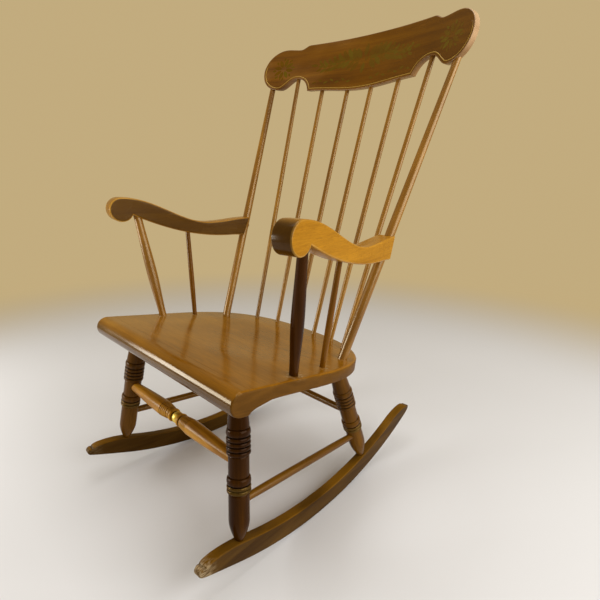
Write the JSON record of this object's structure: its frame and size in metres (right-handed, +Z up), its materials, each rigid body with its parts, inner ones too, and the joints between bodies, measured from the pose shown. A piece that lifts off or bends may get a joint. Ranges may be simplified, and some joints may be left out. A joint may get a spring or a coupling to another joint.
{
  "type": "boston rocking chair",
  "caption": "Wooden rocking chair with a rolled seat, turned legs on curved rockers, a spindle back under a bent crest rail and scrolled arms.",
  "frame": {"origin": "on the floor, under the middle of the chair's outline", "axes": "+X to the sitter's left, +Y to the back, +Z up"},
  "size_m": [0.6484, 0.7645, 1.0989],
  "materials": {
    "seat_maple": "golden stained, glossy varnish",
    "arm_maple": "golden stained, glossy varnish",
    "back_maple": "brown stained, glossy varnish",
    "leg_maple": "dark stained, glossy varnish, gilt beads",
    "stretcher_maple": "brown stained, glossy varnish, gilt ball in front",
    "rocker_maple": "brown stained, worn pale at the nose",
    "screw_steel": "plain steel wood screw"
  },
  "bodies": {
    "root": {"seat": "seat_maple", "arm_left": "arm_maple", "arm_right": "arm_maple", "crest_rail": "back_maple", "post_left": "back_maple", "post_right": "back_maple", "spindle_1": "back_maple", "spindle_2": "back_maple", "spindle_3": "back_maple", "spindle_4": "back_maple", "spindle_5": "back_maple", "spindle_6": "back_maple", "arm_support_left": "back_maple", "arm_support_right": "back_maple", "arm_spindle_left": "back_maple", "arm_spindle_right": "back_maple", "screw_plug_left": "back_maple", "screw_plug_right": "back_maple", "front_leg_left": "leg_maple", "front_leg_right": "leg_maple", "rear_leg_left": "leg_maple", "rear_leg_right": "leg_maple", "front_stretcher": "stretcher_maple", "rear_stretcher": "stretcher_maple", "side_stretcher_left": "stretcher_maple", "side_stretcher_right": "stretcher_maple", "rocker_left": "rocker_maple", "rocker_right": "rocker_maple", "arm_screw_left": "screw_steel", "arm_screw_right": "screw_steel"}
  },
  "joints": []
}
